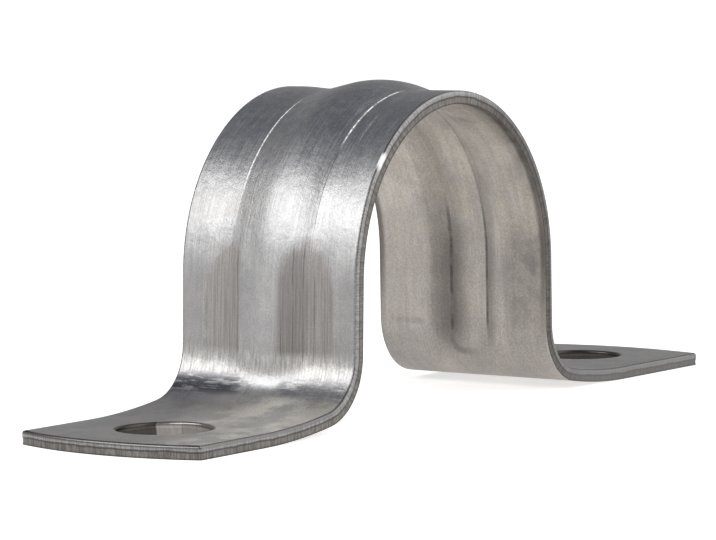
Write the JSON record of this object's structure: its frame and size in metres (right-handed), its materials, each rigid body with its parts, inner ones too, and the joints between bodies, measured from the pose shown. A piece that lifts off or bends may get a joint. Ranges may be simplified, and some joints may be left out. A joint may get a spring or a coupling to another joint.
{
  "type": "conduit strap",
  "caption": "Ribbed sheet-metal pipe strap: a round saddle arch over the conduit, legs bent out into flat feet, each with a screw hole",
  "frame": {"origin": "on the mounting plane, half way between the two screw holes and half way across the strip", "axes": "+X runs from foot to foot, toward the foot that reaches further from the arch; +Y runs along the conduit; +Z points away from the mounting surface"},
  "size_m": [0.0766, 0.0164, 0.0262],
  "materials": {
    "strap": "mill finish with draw marks and scuffs"
  },
  "bodies": {
    "root": {"strap": "strap"}
  },
  "joints": []
}
